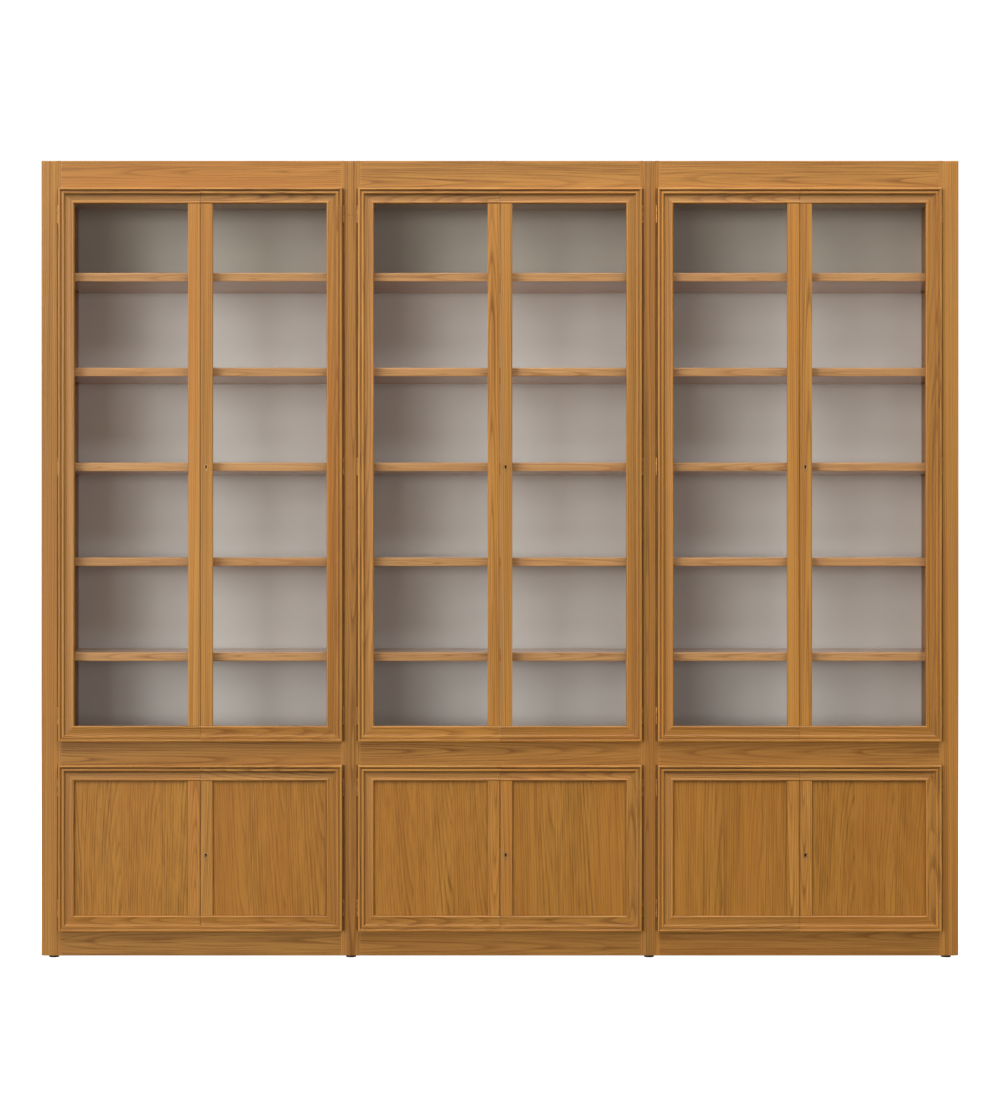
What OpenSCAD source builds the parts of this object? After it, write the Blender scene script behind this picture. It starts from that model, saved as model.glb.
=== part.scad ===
// Three-bay library bookcase in solid wood: a pair of glazed doors over a pair of panelled
// doors in each bay, all hung on small butt hinges in one front plane.
//
// The floor is z = 0, the front faces -Y, and x = 0 is the middle of the case. Inside the
// modules y = 0 is the front plane of the case, and face_y carries it to its place, so that
// the origin lies under the middle of the whole bookcase.

/* [Case] */
// Distance from the middle of one bay to the middle of the next
bay_pitch = 900; // [860:10:1000]
// Height from the floor to the top edge
case_h = 2400; // [2380:5:2460]
// Depth of the case behind its front plane
case_d = 377; // [340:1:420]
// Thickness of the two outer uprights
side_t = 48; // [40:1:60]
// Thickness of the two inner uprights
partition_t = 36; // [34:1:38]
// Width of the hanging batten beside each opening
batten_w = 11; // [10:1:14]
// Thickness of battens and rails from front to back
front_t = 22; // [20:1:28]
// Thickness of the fixed boards
board_t = 25; // [19:1:30]
// Thickness of the back panels
back_t = 8; // [6:1:8]
// Gap between the back panels and the wall
back_inset = 8; // [4:1:12]

/* [Rails] */
// Top edge of the plinth rail
plinth_top = 93; // [80:1:110]
// Bottom edge of the waist rail
waist_bottom = 572; // [540:1:580]
// Top edge of the waist rail
waist_top = 663; // [650:1:690]
// Bottom edge of the top rail
top_rail_bottom = 2306; // [2290:1:2320]

/* [Shelves] */
// Thickness of the shelves
shelf_t = 26; // [20:1:30]
// Upper face of the lowest shelf behind glass
lowest_shelf = 919; // [900:1:940]
// Distance from one shelf to the next
shelf_pitch = 287; // [270:1:290]
// Number of shelves behind each pair of glazed doors
shelf_count = 5; // [3:1:5]
// Upper face of the shelf in the base
base_shelf_top = 352; // [330:1:400]
// Distance from the front plane back to the shelf fronts
shelf_setback = 35; // [25:1:60]

/* [Doors] */
// How far a door laps over the hanging batten
side_lap = 5; // [4:1:6]
// How far a door laps over the rails
rail_lap = 10; // [6:1:14]
// Gap between the two doors of a pair
meeting_gap = 2; // [2:0.5:4]
// Width of the plain meeting stile
meeting_w = 36; // [34:1:44]
// Thickness of the meeting stile
meeting_t = 15.5; // [15:0.5:16.5]
// Thickness of the glass
glass_t = 4; // [3:1:5]

/* [Fittings] */
// Length of a hinge
hinge_len = 50; // [40:1:60]
// Distance from the end of a glazed door to the middle of its end hinges
glass_hinge_inset = 77; // [60:1:100]
// Distance from the end of a base door to the middle of its hinges
base_hinge_inset = 68; // [50:1:90]
// Height of the middle hinge and the keyhole of the glazed doors
glass_key_z = 1480; // [1400:1:1550]
// Height of the keyhole of the base doors
base_key_z = 314; // [280:1:380]
// Height of the glides
foot_h = 8; // [6:1:12]

/* [Hidden] */
$fn = 32;

WOOD = [0.71, 0.51, 0.30];
SHELF_WOOD = [0.76, 0.58, 0.38];
GREY_PAINT = [0.62, 0.58, 0.54];
GLASS = [0.80, 0.88, 0.86, 0.35];
BRASS = [0.78, 0.63, 0.36];
STEEL = [0.62, 0.60, 0.55];
BLACK = [0.08, 0.08, 0.08];

// Bays and doors are counted from left to right. The odd doors hang on the left.
BAYS = [-1, 0, 1];
DOORS = [1:6];
LOCKED_DOORS = [2, 4, 6];

// ---- the case ----
bay_half = (bay_pitch - partition_t) / 2;        // middle of a bay to its uprights
opening_half = bay_half - batten_w;              // middle of a bay to its battens
side_x = bay_pitch + bay_half;                   // inner face of an outer upright
back_y = case_d - back_inset - back_t;           // front face of the back panels
foot_r = 15;
foot_x = [side_x + foot_r, bay_pitch / 2];
foot_y = [30, case_d - 32];

// ---- shelves ----
SHELF_TOPS = [for (i = [0 : shelf_count - 1]) lowest_shelf + i * shelf_pitch];
shelf_play = 1.5;                                // room at the ends and the back
support_r = 3;
support_in = 10;                                 // length in the upright
support_out = 9;                                 // length under the shelf
support_y = [shelf_setback + 40, back_y - 45];

// ---- doors ----
glass_bottom = waist_top - rail_lap;
glass_top = top_rail_bottom + rail_lap;
base_bottom = plinth_top - rail_lap;
base_top = waist_bottom + rail_lap;
door_edge = opening_half + side_lap;             // middle of a bay to a door's outer edge
door_w = door_edge - meeting_gap / 2;
door_gap = 1;                                    // between a closed door and the case
moulding_w = 47;
moulding_h = 22;
rebate_w = 10;                                   // rebate that takes the glass or panel
rebate_d = 9;
pane_play = 1;                                   // room round the glass or panel
joint = 0.1;                                     // glue line between two members
face_y = -(case_d - door_gap - moulding_h) / 2;

// ---- hinges: the pin stands just outside the door's edge, before the batten ----
pin_x = door_edge + 3;
pin_y = -4;
pin_r = 1.2;
pin_play = 0.05;
pin_head_r = 2.2;
pin_head_h = 1.2;
knuckle_r = 2.6;
knuckle_gap = 0.4;
knuckle_h = (hinge_len - 2 * knuckle_gap) / 3;
neck_w = 2.2;
leaf_t = 1.8;
door_leaf_w = 20;
GLASS_HINGES = [glass_bottom + glass_hinge_inset, glass_key_z, glass_top - glass_hinge_inset];
BASE_HINGES = [base_bottom + base_hinge_inset, base_top - base_hinge_inset];

// ---- locks: a case behind each right-hand door, whose bolt shoots behind the left one ----
key_x = 17;                                      // middle of the pair to the keyhole
key_r = 3;
key_slot_w = 4;
key_drop = 6.5;                                  // round part of the keyhole to its foot
scutcheon_r = 6.5;
scutcheon_foot_r = 4.5;
scutcheon_drop = 10;
scutcheon_t = 3;
scutcheon_proud = 0.4;
lock_x = 3;                                      // middle of the pair to the lock case
lock_w = 32;
lock_d = 10;
lock_below = 18;                                 // keyhole to the foot of the lock case
lock_above = 24;
lock_wall = 1.2;
bolt_rise = 10;                                  // keyhole to the middle of the bolt
bolt_len = 24;
bolt_t = 5;
bolt_h = 12;
bolt_y = 1.5;
bolt_play = 0.3;
staple_x = 2;                                    // middle of the pair to the staple
staple_w = 12;
staple_h = 22;
staple_d = 10;
staple_wall = 2;

// ---- catches: a magnet under the rail and a thin plate on the door ----
catch_x = 60;                                    // middle of the pair to the catch
catch_w = 34;
catch_h = 13;
catch_d = 18;
catch_gap = 0.3;
plate_w = 30;
plate_h = 11;
plate_t = 1.5;

CASE_NODES = [
  "outer_uprights", "inner_uprights", "hanging_battens", "plinth_rails", "waist_rails",
  "top_rails", "bottom_boards", "waist_boards", "top_boards", "back_panels", "shelves",
  "base_shelves", "shelf_supports", "glides", "case_hinge_leaves", "hinge_pins",
  "magnet_catches"
];

// ---------------------------------------------------------------- small helpers

// A box from one corner to the opposite one.
module span(from, to) {
  translate(from) cube(to - from);
}

// Children once in each bay, with x = 0 in the middle of the bay.
module each_bay() {
  for (b = BAYS) translate([b * bay_pitch, face_y, 0]) children();
}

// Children drawn on the left of x = 0, and again mirrored on the right.
module both_hands() {
  children();
  mirror([1, 0, 0]) children();
}

function hangs_left(n) = n % 2 == 1;

// Children in the bay of door n, with x = 0 in the middle of the bay. Everything is drawn for
// a door that hangs on the left, at x < 0, and mirrored for one that hangs on the right.
module hang(n) {
  translate([(ceil(n / 2) - 2) * bay_pitch, face_y, 0])
    mirror([hangs_left(n) ? 0 : 1, 0, 0])
      children();
}

// A prism with an outline in x and z that runs forward from y = 0.
module forward(depth) {
  rotate([90, 0, 0]) linear_extrude(depth) children();
}

// ---------------------------------------------------------------- case

module outer_uprights() {
  color(WOOD)
    translate([0, face_y, 0])
      both_hands()
        difference() {
          span([-side_x - side_t, 0, foot_h], [-side_x, case_d, case_h]);
          translate([-side_x, 0, 0]) support_holes();
        }
}

module inner_uprights() {
  middle = -bay_pitch / 2;
  half = partition_t / 2;
  color(WOOD)
    translate([0, face_y, 0])
      both_hands()
        difference() {
          span([middle - half, 0, foot_h], [middle + half, case_d, case_h]);
          translate([middle + half, 0, 0]) support_holes();
          translate([middle - half, 0, 0]) mirror([1, 0, 0]) support_holes();
        }
}

// Strips that narrow each opening, so that the hinges have solid wood beside the door.
module hanging_battens() {
  color(WOOD)
    each_bay()
      both_hands()
        difference() {
          span([-bay_half, 0, foot_h], [-opening_half, front_t, case_h]);
          for (z = concat(GLASS_HINGES, BASE_HINGES))
            translate([0, 0, z]) case_leaf_plates(reach = 1);
        }
}

module rails(bottom, top) {
  color(WOOD) each_bay() span([-opening_half, 0, bottom], [opening_half, front_t, top]);
}

module plinth_rails() {
  rails(foot_h, plinth_top);
}

module waist_rails() {
  rails(waist_bottom, waist_top);
}

module top_rails() {
  rails(top_rail_bottom, case_h);
}

module boards(underside) {
  color(WOOD)
    each_bay()
      span([-bay_half, front_t, underside], [bay_half, back_y, underside + board_t]);
}

module bottom_boards() {
  boards(plinth_top - board_t);
}

module waist_boards() {
  boards(waist_top - board_t);
}

// Level with the foot of the top rail, so that the case ends in a shallow tray.
module top_boards() {
  boards(top_rail_bottom);
}

module back_panels() {
  color(GREY_PAINT)
    each_bay()
      span([-bay_half, back_y, plinth_top - board_t],
           [bay_half, back_y + back_t, top_rail_bottom + board_t]);
}

module glides() {
  color(BLACK)
    translate([0, face_y, 0])
      both_hands()
        for (x = foot_x)
          for (y = foot_y)
            translate([-x, y, 0]) cylinder(r = foot_r, h = foot_h);
}

// ---------------------------------------------------------------- shelves

module shelf(top) {
  half = bay_half - shelf_play;
  span([-half, shelf_setback, top - shelf_t], [half, back_y - shelf_play, top]);
}

module shelves() {
  color(SHELF_WOOD) each_bay() for (top = SHELF_TOPS) shelf(top);
}

module base_shelves() {
  color(SHELF_WOOD) each_bay() shelf(base_shelf_top);
}

// Two pegs under each shelf in the upright whose face is x = 0 and whose wood is at x < 0.
module pegs(inside, outside) {
  for (top = concat(SHELF_TOPS, [base_shelf_top]))
    for (y = support_y)
      translate([-inside, y, top - shelf_t - support_r])
        rotate([0, 90, 0]) cylinder(r = support_r, h = inside + outside);
}

module support_holes() {
  pegs(support_in, 1);
}

module shelf_supports() {
  color(BRASS)
    each_bay()
      both_hands()
        translate([-bay_half, 0, 0]) pegs(support_in, support_out);
}

// ---------------------------------------------------------------- door frames
// A door is drawn from its outer lower corner at the back: x runs towards the meeting edge,
// and the front is before y = 0.

// Section across a moulded member: x runs in from the door's outer edge and y up from its
// back. A raised fillet, a cove, a second fillet, a deeper cove, a flat band and a quirk lead
// down to a small bead round the opening, and the rebate is cut from the back.
module moulding_section() {
  fillet_in = 12;
  fillet_h = 19;
  cove_r = 7.5;
  flat_in = 25;
  flat_h = 14.5;
  deep_cove_r = 7.7;
  quirk_in = 36;
  quirk_h = 12.5;
  bead_r = 3.8;
  edge_r = 1.5;
  difference() {
    union() {
      square([fillet_in, moulding_h]);
      square([flat_in, fillet_h]);
      square([quirk_in, flat_h]);
      square([moulding_w, quirk_h]);
      translate([moulding_w - bead_r, quirk_h]) circle(r = bead_r);
    }
    translate([fillet_in, fillet_h + cove_r]) circle(r = cove_r);
    translate([flat_in, flat_h + deep_cove_r]) circle(r = deep_cove_r);
    translate([moulding_w - rebate_w, -1]) square([rebate_w + 1, rebate_d + 1]);
    difference() {
      translate([-1, moulding_h - edge_r]) square(edge_r + 1);
      translate([edge_r, moulding_h - edge_r]) circle(r = edge_r);
    }
  }
}

// What a moulded member is cut to, from an outline in x and z.
module cut_to(points) {
  intersection() {
    children();
    translate([0, 1, 0]) forward(moulding_h + 2) polygon(points);
  }
}

// The outer stile, mitred at both ends.
module outer_stile(h) {
  far = moulding_w + joint;
  cut_to([[0, joint], [moulding_w, far], [moulding_w, h - far], [0, h - joint]])
    linear_extrude(h) mirror([0, 1, 0]) moulding_section();
}

// The lower rail, mitred into the stile and square at the meeting edge.
module lower_rail() {
  cut_to([[0, 0], [door_w, 0], [door_w, moulding_w], [moulding_w, moulding_w]])
    mirror([0, 0, 1])
      rotate([0, 90, 0])
        linear_extrude(door_w) mirror([0, 1, 0]) moulding_section();
}

module upper_rail(h) {
  translate([0, 0, h]) mirror([0, 0, 1]) lower_rail();
}

// The plain meeting stile stands between the rails and is halved over their rebates behind.
module meeting_stile(h) {
  end = moulding_w + joint;
  tab_end = end - rebate_w;
  side = door_w - meeting_w;
  span([side, -meeting_t, end], [door_w, -rebate_d, h - end]);
  span([side + rebate_w, -rebate_d, end], [door_w, 0, h - end]);
  span([side + rebate_w, joint - rebate_d, tab_end], [door_w, 0, h - tab_end]);
}

// Strips that hold the glass from behind.
module glazing_beads(h) {
  bead_t = rebate_d - glass_t;
  bead_w = rebate_w - 2 * joint;
  low = moulding_w - rebate_w + joint;
  far = door_w - meeting_w + joint;
  span([low, -bead_t, low], [low + bead_w, 0, h - low]);
  span([far, -bead_t, low], [far + bead_w, 0, h - low]);
  for (z = [low, h - low - bead_w])
    span([moulding_w, -bead_t, z], [door_w - meeting_w, 0, z + bead_w]);
}

// The glass or the panel, which lies against the front of the rebate.
module filling(h, t) {
  inside = moulding_w - rebate_w + pane_play;
  far = door_w - meeting_w + rebate_w - pane_play;
  span([inside, -rebate_d, inside], [far, t - rebate_d, h - inside]);
}

module frame(h) {
  outer_stile(h);
  lower_rail();
  upper_rail(h);
  meeting_stile(h);
}

// Brings what is drawn for one door to its place in the pair.
module in_pair(bottom) {
  translate([-door_edge, -door_gap, bottom]) children();
}

// Lets the hinges, and on a right-hand door the keyhole, into the frame.
module let_in(n, hinges, key_z) {
  difference() {
    children();
    for (z = hinges) translate([0, 0, z]) door_leaf_plate(reach = 1);
    if (!hangs_left(n)) translate([-key_x, 0, key_z]) keyway();
  }
}

module glass_door_frame(n) {
  h = glass_top - glass_bottom;
  color(WOOD)
    hang(n)
      let_in(n, GLASS_HINGES, glass_key_z)
        in_pair(glass_bottom) {
          frame(h);
          glazing_beads(h);
        }
}

module base_door_frame(n) {
  color(WOOD)
    hang(n)
      let_in(n, BASE_HINGES, base_key_z)
        in_pair(base_bottom) frame(base_top - base_bottom);
}

module glass_door_pane(n) {
  color(GLASS)
    hang(n) in_pair(glass_bottom) filling(glass_top - glass_bottom, glass_t);
}

module base_door_panel(n) {
  color(WOOD)
    hang(n) in_pair(base_bottom) filling(base_top - base_bottom, rebate_d);
}

// ---------------------------------------------------------------- hinges
// Each hinge is drawn about its own middle height, in the bay, on the left.

// The part of the barrel from one height to another.
module knuckle(from, to, bore_r) {
  translate([-pin_x, pin_y, from])
    difference() {
      cylinder(r = knuckle_r, h = to - from);
      translate([0, 0, -1]) cylinder(r = bore_r, h = to - from + 2);
    }
}

// The case leaf lies in the front of the batten and turns the corner into the opening. With
// a reach it is the cutter for its own seat.
module case_leaf_plates(reach = 0) {
  half = hinge_len / 2;
  span([-bay_half, -reach, -half], [-opening_half + reach, leaf_t, half]);
  span([-opening_half - leaf_t, -reach, -half], [-opening_half + reach, front_t + reach, half]);
}

module case_leaf() {
  half = hinge_len / 2;
  case_leaf_plates();
  for (side = [0, 1])
    mirror([0, 0, side]) {
      knuckle(half - knuckle_h, half, pin_r);
      difference() {
        span([-pin_x - neck_w / 2, pin_y, half - knuckle_h], [-pin_x + neck_w / 2, 0, half]);
        translate([-pin_x, pin_y, 0]) cylinder(r = (knuckle_r + pin_r) / 2, h = half + 1);
      }
    }
}

// The door leaf lies in the back of the stile. With a reach it is the cutter for its seat.
module door_leaf_plate(reach = 0) {
  half = hinge_len / 2;
  span([-door_edge - reach, -door_gap - leaf_t, -half],
       [-door_edge + door_leaf_w, -door_gap + reach, half]);
}

module door_leaf() {
  half = knuckle_h / 2;
  door_leaf_plate();
  knuckle(-half, half, pin_r + pin_play);
  difference() {
    span([-pin_x, -door_gap - leaf_t, -half], [-door_edge, -door_gap, half]);
    translate([-pin_x, pin_y, -half - 1])
      cylinder(r = (knuckle_r + pin_r) / 2, h = knuckle_h + 2);
  }
}

module hinge_pin() {
  half = hinge_len / 2;
  translate([-pin_x, pin_y, -half]) cylinder(r = pin_r, h = hinge_len);
  for (side = [0, 1])
    mirror([0, 0, side])
      translate([-pin_x, pin_y, half]) cylinder(r = pin_head_r, h = pin_head_h);
}

// Children at every hinge of the case.
module each_hinge() {
  each_bay()
    both_hands()
      for (z = concat(GLASS_HINGES, BASE_HINGES))
        translate([0, 0, z]) children();
}

module case_hinge_leaves() {
  color(BRASS) each_hinge() case_leaf();
}

module hinge_pins() {
  color(BRASS) each_hinge() hinge_pin();
}

// ---------------------------------------------------------------- locks and catches

module key_outline() {
  circle(r = key_r);
  translate([-key_slot_w / 2, -key_drop]) square([key_slot_w, key_drop]);
}

// A keyhole-shaped plate: a round head that narrows to a smaller round foot.
module scutcheon_outline() {
  circle(r = scutcheon_r);
  translate([0, -scutcheon_drop]) circle(r = scutcheon_foot_r);
  polygon([
    [-scutcheon_r, 0],
    [scutcheon_r, 0],
    [scutcheon_foot_r, -scutcheon_drop],
    [-scutcheon_foot_r, -scutcheon_drop]
  ]);
}

// Keyhole through the stile, with the seat of its scutcheon.
module keyway() {
  translate([0, 1, 0]) forward(moulding_h) key_outline();
  translate([0, scutcheon_t - scutcheon_proud - door_gap - meeting_t, 0])
    forward(scutcheon_t + 1) scutcheon_outline();
}

module scutcheon() {
  translate([0, scutcheon_t - scutcheon_proud - door_gap - meeting_t, 0])
    forward(scutcheon_t)
      difference() {
        scutcheon_outline();
        key_outline();
      }
}

// A closed case on the back of the door, open for the key and the bolt. x = 0 is the keyhole.
module lock_case() {
  near = key_x - lock_x;
  back = lock_d - door_gap;
  difference() {
    span([near - lock_w, -door_gap, -lock_below], [near, back, lock_above]);
    span([near - lock_w + lock_wall, lock_wall - door_gap, lock_wall - lock_below],
         [near - lock_wall, back - lock_wall, lock_above - lock_wall]);
    translate([0, 0.5, 0]) forward(2) key_outline();
    span([0, bolt_y - bolt_play, bolt_rise - bolt_h / 2 - bolt_play],
         [near + 1, bolt_y + bolt_t + bolt_play, bolt_rise + bolt_h / 2 + bolt_play]);
  }
}

// Withdrawn, so that its end lies in the edge of the lock case.
module bolt(n, key_z) {
  tip = -lock_x - bolt_play;
  color(BRASS)
    hang(n)
      translate([0, 0, key_z + bolt_rise])
        span([tip - bolt_len, bolt_y, -bolt_h / 2], [tip, bolt_y + bolt_t, bolt_h / 2]);
}

// A bridge on the left-hand door, which the bolt shoots through.
module staple() {
  passage = staple_h / 2 - staple_wall - 2;
  translate([-staple_x - staple_w, -door_gap, bolt_rise])
    difference() {
      span([0, 0, -staple_h / 2], [staple_w, staple_d, staple_h / 2]);
      span([-1, -1, -passage], [staple_w + 1, staple_d - staple_wall, passage]);
    }
}

module catch_plate(opening_top) {
  top = opening_top - 1;
  span([-catch_x - plate_w / 2, -door_gap, top - plate_h],
       [-catch_x + plate_w / 2, plate_t - door_gap, top]);
}

module magnet_catches() {
  front = plate_t - door_gap + catch_gap;
  color(STEEL)
    each_bay()
      both_hands()
        for (top = [waist_bottom, top_rail_bottom])
          span([-catch_x - catch_w / 2, front, top - catch_h],
               [-catch_x + catch_w / 2, front + catch_d, top]);
}

// All the metal that is fixed to one door.
module fittings(n, hinges, key_z, opening_top) {
  color(BRASS)
    hang(n) {
      for (z = hinges) translate([0, 0, z]) door_leaf();
      catch_plate(opening_top);
      if (hangs_left(n)) {
        translate([0, 0, key_z]) staple();
      } else {
        translate([-key_x, 0, key_z]) {
          scutcheon();
          lock_case();
        }
      }
    }
}

module glass_door_fittings(n) {
  fittings(n, GLASS_HINGES, glass_key_z, top_rail_bottom);
}

module base_door_fittings(n) {
  fittings(n, BASE_HINGES, base_key_z, waist_bottom);
}

// ---------------------------------------------------------------- nodes

outer_uprights();
inner_uprights();
hanging_battens();
plinth_rails();
waist_rails();
top_rails();
bottom_boards();
waist_boards();
top_boards();
back_panels();
shelves();
base_shelves();
shelf_supports();
glides();
case_hinge_leaves();
hinge_pins();
magnet_catches();

for (n = DOORS) {
  glass_door_frame(n);
  glass_door_pane(n);
  glass_door_fittings(n);
  base_door_frame(n);
  base_door_panel(n);
  base_door_fittings(n);
}
for (n = LOCKED_DOORS) {
  bolt(n, glass_key_z);
  bolt(n, base_key_z);
}
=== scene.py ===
# %% [markdown]
# # A three-bay library bookcase
# The real piece is joiner's work: boards of honey-coloured hardwood, a run of small mouldings
# round every door, glass above and flat panels below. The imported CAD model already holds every
# part in its place. In this lesson each wooden part is made again as its own board, with eased
# edges and with a grain that runs the way a joiner would lay it. The metal and the glass keep
# the shapes of the CAD model and get a finish of their own.

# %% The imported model
import math

import bpy
import numpy as np
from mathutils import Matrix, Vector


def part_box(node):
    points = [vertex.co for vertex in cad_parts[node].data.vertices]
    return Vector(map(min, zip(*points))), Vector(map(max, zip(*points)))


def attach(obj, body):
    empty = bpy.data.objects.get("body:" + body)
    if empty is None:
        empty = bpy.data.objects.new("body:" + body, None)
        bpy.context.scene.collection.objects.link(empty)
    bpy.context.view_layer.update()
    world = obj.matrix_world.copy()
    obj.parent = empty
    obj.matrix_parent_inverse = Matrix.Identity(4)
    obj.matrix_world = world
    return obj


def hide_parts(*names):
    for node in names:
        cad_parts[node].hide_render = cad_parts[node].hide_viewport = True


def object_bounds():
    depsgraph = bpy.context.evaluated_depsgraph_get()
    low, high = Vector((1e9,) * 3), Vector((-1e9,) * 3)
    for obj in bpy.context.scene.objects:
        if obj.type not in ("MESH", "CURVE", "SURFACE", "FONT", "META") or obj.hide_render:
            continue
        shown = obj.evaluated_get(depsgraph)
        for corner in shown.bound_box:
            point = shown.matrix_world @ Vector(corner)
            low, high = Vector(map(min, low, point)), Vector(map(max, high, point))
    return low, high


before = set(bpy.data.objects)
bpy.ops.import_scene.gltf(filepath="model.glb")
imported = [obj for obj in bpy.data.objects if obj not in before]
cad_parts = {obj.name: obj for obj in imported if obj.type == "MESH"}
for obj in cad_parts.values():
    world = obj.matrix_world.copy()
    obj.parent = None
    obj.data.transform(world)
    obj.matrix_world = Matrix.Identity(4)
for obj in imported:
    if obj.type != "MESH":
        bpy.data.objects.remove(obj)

cad_box = [list(corner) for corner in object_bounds()]
scene = bpy.context.scene
MM = 0.001
print("size in metres", np.subtract(cad_box[1], cad_box[0]).round(3))

# %% [markdown]
# ## Where to stand
# A catalogue picture of a wide case is taken square on, from far enough away that the shelves
# do not splay. The camera stands 7.2 m before the doors, level with the middle of the case, and
# the lens is worked out from the stretch of the front that has to fill the picture.

# %% The camera
STAND_OFF = 7.2
SHOWN_WIDTH = 3.0
PICTURE_SHAPE = 1119 / 1000
FILM = 36.0

front_y = cad_box[0][1]
top_z = cad_box[1][2]
camera = bpy.data.objects.new("camera", bpy.data.cameras.new("camera"))
camera.data.sensor_width = FILM
camera.data.lens = FILM * STAND_OFF / (SHOWN_WIDTH * PICTURE_SHAPE)
camera.location = (0, front_y - STAND_OFF, top_z / 2)
camera.rotation_euler = (math.pi / 2, 0, 0)
scene.collection.objects.link(camera)
scene.camera = camera
print("lens in mm", round(camera.data.lens, 1))

# %% [markdown]
# ## One board for every solid
# A node such as the shelves holds fifteen separate boards. The places of the new boards are
# measured from it: corners that hang together are one solid, and its extremes are the box of
# the board.

# %% The boxes of a node's solids


def solids(node):
    """Boxes of a node's separate solids. Corners that share a face take the smallest label
    among them, again and again, until nothing changes."""
    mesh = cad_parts[node].data
    points = np.empty(len(mesh.vertices) * 3)
    mesh.vertices.foreach_get("co", points)
    mesh.calc_loop_triangles()
    faces = np.empty(len(mesh.loop_triangles) * 3, int)
    mesh.loop_triangles.foreach_get("vertices", faces)
    places, welded = np.unique(points.reshape(-1, 3).round(6), axis=0, return_inverse=True)
    faces = welded.ravel()[faces].reshape(-1, 3)
    label = np.arange(len(places))
    settled = False
    while not settled:
        lower = label.copy()
        np.minimum.at(lower, faces.ravel(), np.repeat(label[faces].min(axis=1), 3))
        lower = lower[lower]
        settled = bool((lower == label).all())
        label = lower
    groups = [places[label == own] for own in np.unique(label)]
    return [(group.min(axis=0), group.max(axis=0)) for group in groups]


print("shelves found", len(solids("shelves")))

# %% [markdown]
# ## Skins from stacked outlines
# A board, a moulding and a screw head are all one outline carried along a line. The
# outline may change a little on the way, and a flat face closes each end. The outlines are rows
# of one array, and the faces between two rows follow from counting. The volume under the faces
# comes out negative when the skin is inside out, and then every face is turned round.

# %% The skin of a stack


def stack_faces(rows, columns):
    """Four-sided faces between neighbouring rows of a grid whose columns close in a ring."""
    row, column = np.meshgrid(np.arange(rows - 1), np.arange(columns), indexing="ij")
    beside = (column + 1) % columns
    corners = (row * columns + column, row * columns + beside)
    upper = (corners[1] + columns, corners[0] + columns)
    return np.stack(corners + upper, axis=-1).reshape(-1, 4)


def loft(outlines):
    """Points and faces of a closed skin over an array (rows, points, 3), with one flat face on
    the first and the last row."""
    rows, columns = outlines.shape[:2]
    points = outlines.reshape(-1, 3)
    sides = stack_faces(rows, columns)
    first = np.arange(columns)[::-1]
    last = np.arange(columns) + (rows - 1) * columns
    a, b, c, d = (points[sides[:, k]] for k in range(4))
    volume = (np.cross(a, b) * c).sum() + (np.cross(a, c) * d).sum()
    for cap in (first, last):
        fan = points[cap]
        volume += (np.cross(fan[0], fan[1:-1]) * fan[2:]).sum()
    faces = sides.tolist() + [first.tolist(), last.tolist()]
    if volume < 0:
        faces = [face[::-1] for face in faces]
    return points, faces


cube = np.array([[[0, 0, z], [1, 0, z], [1, 1, z], [0, 1, z]] for z in (0.0, 1.0)])
print("faces on a test box", len(loft(cube)[1]))

# %% [markdown]
# ## The board
# No real board has a sharp corner: the joiner takes the arris off with a plane or with paper,
# and the bright line along a rounded edge is much of what makes wood look like wood. Each
# outline is a rectangle with quarter-round corners. Near the two ends the corner radius shrinks
# while the outline moves on, which rounds the ends in the same way. An extra point on each side
# of a corner keeps the shading of the flats flat.

# %% A rounded board
EDGE_BAND = 4 * MM
END_TURNS = np.array([0, 0.45, 0.9, 1.3])


def rounded_outline(half_wide, half_thick, radius, shrink):
    """Rectangle with corners of that radius, as points (x, y). Each corner is an arc about its
    own centre, with one more point on the flat before it and after it. shrink scales the arc."""
    quarter = np.linspace(0, math.pi / 2, 4)
    band = [min(EDGE_BAND, 0.4 * (half - radius)) for half in (half_wide, half_thick)]
    points = []
    for k in range(4):
        turn = quarter + k * math.pi / 2
        side = np.sign([math.cos(turn.mean()), math.sin(turn.mean())])
        centre = side * [half_wide - radius, half_thick - radius]
        arc = centre + shrink * radius * np.stack([np.cos(turn), np.sin(turn)], axis=1)
        along = [np.array([-side[0] * band[0], 0]), np.array([0, -side[1] * band[1]])]
        before, after = (along[1], along[0]) if k % 2 == 0 else (along[0], along[1])
        points += [arc[:1] + before, arc, arc[-1:] + after]
    return np.concatenate(points)


def board_skin(lo, hi, along, radius):
    """Skin of a board in the box from lo to hi whose grain runs along that axis: rounded
    outlines stacked along it, with the radius shrinking as a cosine over the two ends."""
    lo, hi = np.array(lo, float), np.array(hi, float)
    wide, thick = [axis for axis in range(3) if axis != along]
    half = (hi - lo) / 2
    ends = half[along] - radius + radius * np.sin(END_TURNS)
    ends[-1] = half[along]
    stops = np.concatenate([-ends[::-1], [-half[along] + 3 * radius + EDGE_BAND]])
    stops = np.concatenate([stops, -stops[::-1]])
    shrink = np.concatenate([np.cos(END_TURNS)[::-1], [1, 1], np.cos(END_TURNS)])
    flats = np.array([rounded_outline(half[wide], half[thick], radius, small) for small in shrink])
    outlines = np.empty(flats.shape[:2] + (3,))
    outlines[:, :, wide] = flats[:, :, 0]
    outlines[:, :, thick] = flats[:, :, 1]
    outlines[:, :, along] = stops[:, None]
    return loft(outlines + (lo + hi) / 2)


def edge_wear(points, lo, hi):
    """How worn each point of a box is: 1 on an edge, falling to 0 on the flats. A point near an
    edge is near two faces of the box, so the second smallest of its distances tells."""
    reach = np.concatenate([points - lo, hi - points], axis=1)
    second = np.sort(reach, axis=1)[:, 1]
    return np.clip(1 - second / EDGE_BAND, 0, 1)


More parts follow.
